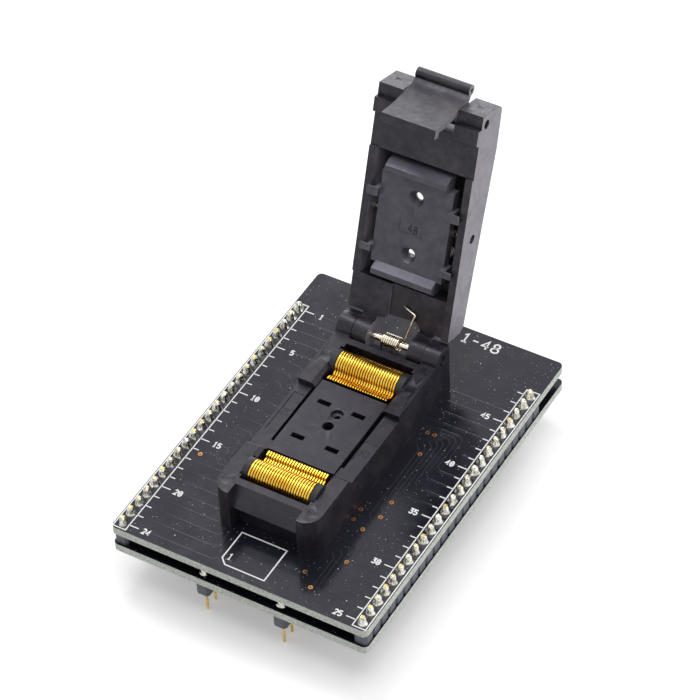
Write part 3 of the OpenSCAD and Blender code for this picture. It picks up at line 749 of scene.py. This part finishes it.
def ridge(chain, width, points, faces):
    """Adds a low ridge with sloping sides along a chain of (x, y) points."""
    chain = [Vector(p) for p in chain]
    start = len(points)
    for i, here in enumerate(chain):
        ahead = (chain[min(i + 1, len(chain) - 1)] - here).normalized()
        behind = (here - chain[max(i - 1, 0)]).normalized()
        middle = (ahead + behind).normalized()
        reach = 1 / max(0.5, middle.dot(ahead if ahead.length else behind))
        side = Vector((-middle.y, middle.x)) * reach
        for offset, z in ((width / 2 + SLOPE, TRACK_Z), (width / 2, TRACK_Z + TRACK_T),
                          (-width / 2, TRACK_Z + TRACK_T), (-width / 2 - SLOPE, TRACK_Z)):
            spot = here + side * offset
            points.append((spot.x, spot.y, z))
    for i in range(len(chain) - 1):
        a = start + 4 * i
        faces.extend([(a + k, a + k + 1, a + k + 5, a + k + 4)[::-1] for k in range(3)])


def corner_route(x_row, y_row, x_turn, y_in, x_in, cut=0.8):
    """From the row to a column, along the board, then in under the socket, with 45 degree corners."""
    sx = 1 if x_turn > x_row else -1
    sy = 1 if y_in > y_row else -1
    cut = min(cut, abs(y_in - y_row) / 2.2)
    return [(x_row, y_row), (x_turn - sx * cut, y_row), (x_turn, y_row + sy * cut),
            (x_turn, y_in - sy * cut), (x_turn + sx * cut, y_in), (x_in, y_in)]


print("track height over the deck", round(TRACK_Z + TRACK_T - deck, 3), "mm")

# %% tracks of the left row
points, faces = [], []
ROW_IN, UNDER = INNER_X - 0.1, 9.3
for k in range(pins_in_row):
    y = k * pitch - row_end
    if k < 3:
        chain = [(-ROW_IN, y), (-6.2 - 1.1 * k, y), (-5.2 - 1.1 * k, y + 1.0), (-5.2 - 1.1 * k, -21.4)]
    elif k < 8:
        chain = [(-ROW_IN, y), (-UNDER, y)]
    elif k < 16:
        chain = corner_route(-ROW_IN, y, -17.0 + 0.8 * (k - 8), -10.1 + 0.7 * (k - 8), -UNDER)
    else:
        chain = corner_route(-ROW_IN, y, -16.6 + 0.75 * (k - 16), 10.4 + 0.7 * (k - 16), -UNDER)
    ridge(chain, TRACK_W, points, faces)
print("left tracks", pins_in_row, "with", len(faces), "faces")

# %% tracks of the right row
for k in range(pins_in_row):
    y = k * pitch - row_end
    if k < 8:
        chain = corner_route(ROW_IN, y, 12.0 + 0.85 * k, -18.5 + 1.2 * k, UNDER)
    elif k < 16:
        chain = corner_route(ROW_IN, y, 12.4 + 0.8 * (k - 8), 9.8 + 0.75 * (k - 8), UNDER)
    elif k in (16, 17, 22, 23):
        chain = [(ROW_IN, y), (20.0, y)]
    else:
        chain = [(ROW_IN, y), (UNDER, y)]
    ridge(chain, TRACK_W, points, faces)
piece("copper_tracks", points, faces, covered_copper, "socket")
print("tracks", len(faces), "faces")

# %% [markdown]
# ## Moulded numbers
#
# The two sunken frames on the housing's side rails and the one on the pressure plate hold small
# raised numbers. Only plain pin numbers stand here, as thin bands painted blacker than the plastic
# round them, a painted shade so that they read as the shadow-filled figures of a mould.

# %% raised numbers on the rails and the plate
# Painted shade: the figures get a blacker, duller finish so that they read as shadowed.
figure_shade = moulded("figure_shade", (0.006, 0.006, 0.007), 0.55, 0.2, 0.0)
RAISED = 0.06
rail_z = deck + 7.7 - 0.01


def raised_number(name, text, x, high, pen, placed, body, turned_over=False):
    points, faces = [], []
    write(text, x, 0, high, 0, RAISED, pen, points, faces)
    if turned_over:
        faces = [face[::-1] for face in faces]
    piece(name, [placed(*p) for p in points], faces, figure_shade, body)


raised_number("rail_number_left", "24", 0, 1.3, 0.16, lambda x, y, z: (-8.45 - y, x, rail_z + z),
              "socket")
raised_number("rail_number_right", "25", 0, 1.3, 0.16, lambda x, y, z: (8.5 - y, x - 2.2, rail_z + z),
              "socket")
raised_number("plate_number", "48", 0.2, 1.35, 0.17, lambda x, y, z: on_lid(x, 21.75 + y, 1.21 - z),
              "pressure_pad", turned_over=True)
print("three moulded numbers")

# %% [markdown]
# ## The floor
#
# The floor is pale and plain. A camera ray, and a ray that bounces off gloss or passes through
# glass, sees a little extra light added to it, so that it reads white while the shadow under the
# boards stays. Diffuse rays see only the plain surface, so the floor never throws more light at the
# object than paper would.

# %% floor
FLOOR_GLOW, FLOOR_SIZE = 0.30, 3
floor_white, tree, shader = finish("floor_white", Roughness=0.7)
tone = ramp(tree, noise(tree, 30, 2), (0.3, (0.86, 0.86, 0.87)), (0.7, (0.90, 0.90, 0.91)))
tree.links.new(tone, shader.inputs["Base Color"])
glow = calculate(tree, "MULTIPLY", rays_that_see(tree), FLOOR_GLOW)
tree.links.new(glow, shader.inputs["Emission Strength"])
shader.inputs["Emission Color"].default_value = (1, 1, 1, 1)
bpy.ops.mesh.primitive_plane_add(size=FLOOR_SIZE, location=(0, 0, floor_z * MM))
floor = bpy.context.object
floor.name = "floor"
floor.data.materials.append(floor_white)
print("floor at", floor_z, "mm")

# %% [markdown]
# ## Light
#
# Black plastic and black lacquer show almost nothing but reflections, so the lamps are placed by
# what they mirror: a large soft wall of light behind the object lies in the boards and on the flat
# tops, a lamp overhead picks out the bevels, a small one at the back left is for the press bars in
# the lid, and a weak one on the right opens the shadows. The room is white to the eye and in
# reflections, and a plain dim grey for everything else.

# %% world
DIM_ROOM, WHITE_ROOM = 0.36, 1.0
world = bpy.data.worlds.new("studio")
bpy.context.scene.world = world
world.use_nodes = True
tree = world.node_tree
tree.nodes.clear()
strength = node(tree, "ShaderNodeMix", {0: rays_that_see(tree), 2: DIM_ROOM, 3: WHITE_ROOM}).outputs[0]
light = node(tree, "ShaderNodeBackground", {"Color": (1, 1, 1, 1), "Strength": strength})
node(tree, "ShaderNodeOutputWorld", {"Surface": light.outputs[0]})
print("world set")

# %% lamps
LAMPS = (("overhead", (0.08, 0.0, 0.55), 1.3, 0.42), ("back_wall", (-0.25, 0.61, 0.25), 1.6, 0.48),
         ("bar_light", (-0.19, 0.13, 0.49), 0.6, 0.17), ("side_right", (0.50, 0.16, 0.20), 0.7, 0.35))
LAMPS_AIM = Vector((0, 0, 20)) * MM
for name, spot, power, size in LAMPS:
    data = bpy.data.lights.new(name, "AREA")
    data.energy = power
    data.size = size
    lamp = bpy.data.objects.new(name, data)
    bpy.context.scene.collection.objects.link(lamp)
    lamp.location = spot
    lamp.rotation_mode = "QUATERNION"
    lamp.rotation_quaternion = (LAMPS_AIM - Vector(spot)).to_track_quat("-Z", "Y")

# %% [markdown]
# ## Finish
#
# The view transform stays Standard, so a colour renders as it is written.

# %% view transform and the solids' box
bpy.context.scene.view_settings.view_transform = "Standard"
print("solids", [[round(v / MM, 2) for v in c] for c in solid_box])
